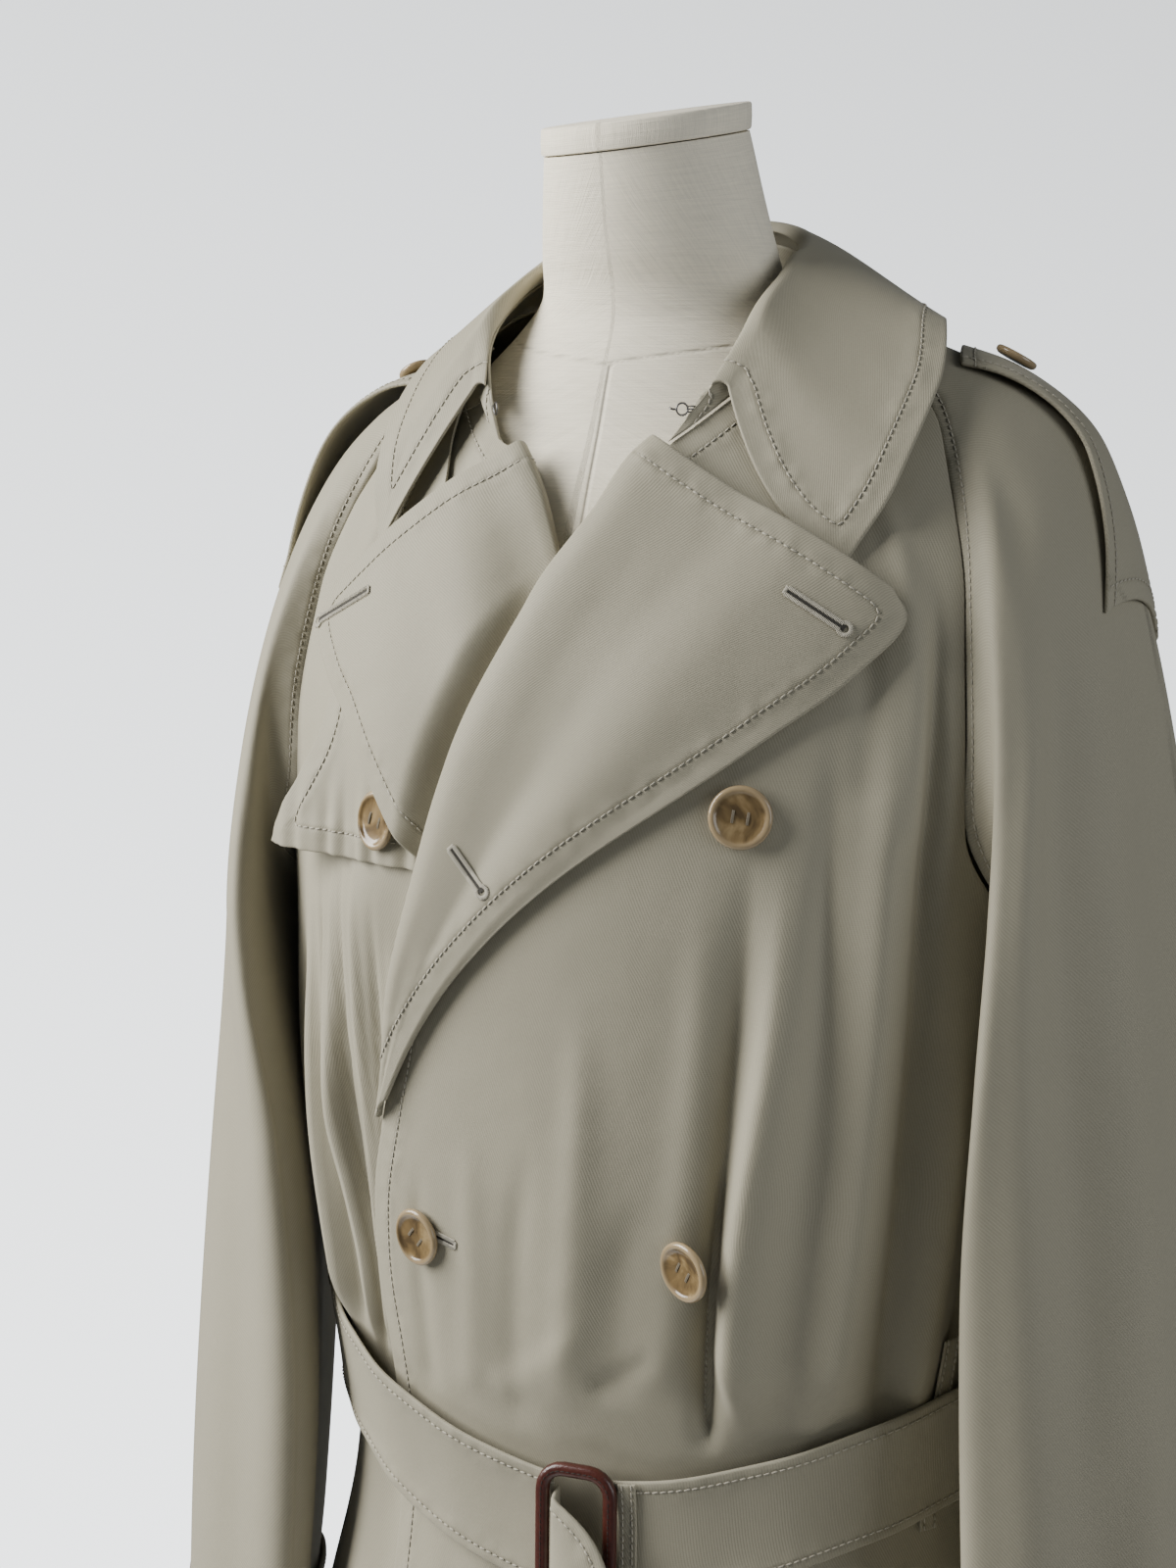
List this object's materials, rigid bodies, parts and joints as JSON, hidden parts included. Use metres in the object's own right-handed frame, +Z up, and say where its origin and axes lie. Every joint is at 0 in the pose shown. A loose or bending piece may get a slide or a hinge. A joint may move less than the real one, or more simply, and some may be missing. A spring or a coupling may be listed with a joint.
{
  "type": "trench coat on a dress form",
  "caption": "Double-breasted belted trench coat with raglan sleeves, hanging on a limbless padded dress form with a pole and a round base.",
  "frame": {"origin": "centre of the base's underside, on the floor", "axes": "+Z up along the pole, -Y towards the coat's front, +X towards the wearer's left"},
  "size_m": [0.5636, 0.4233, 1.5195],
  "materials": {
    "gabardine": "stone-coloured cotton gabardine, fine steep twill, matt",
    "horn": "horn-look resin, tan and brown, polished",
    "leather": "dark red-brown leather over a stiff frame, semi-gloss",
    "metal": "dull grey wire",
    "linen": "cream linen, plain weave, matt",
    "stand_metal": "plain satin grey"
  },
  "bodies": {
    "root": {"front_left": "gabardine", "front_right": "gabardine", "back": "gabardine", "sleeve_left": "gabardine", "sleeve_right": "gabardine", "lapel_left": "gabardine", "lapel_right": "gabardine", "collar_stand": "gabardine", "collar_leaf": "gabardine", "gun_flap": "gabardine", "epaulette_left": "gabardine", "epaulette_right": "gabardine", "cuff_strap_left": "gabardine", "cuff_strap_right": "gabardine", "cuff_buckle_left": "leather", "cuff_buckle_right": "leather", "button_chest_left": "horn", "button_waist_left": "horn", "button_waist_right": "horn", "button_flap": "horn", "button_epaulette_left": "horn", "button_epaulette_right": "horn", "belt": "gabardine", "belt_tail": "gabardine", "belt_keeper": "gabardine", "belt_loop_left": "gabardine", "belt_loop_right": "gabardine", "buckle": "leather", "collar_hook": "metal", "collar_eye": "metal", "dress_form": "linen", "form_cap": "linen", "pole": "stand_metal", "base": "stand_metal"}
  },
  "joints": []
}
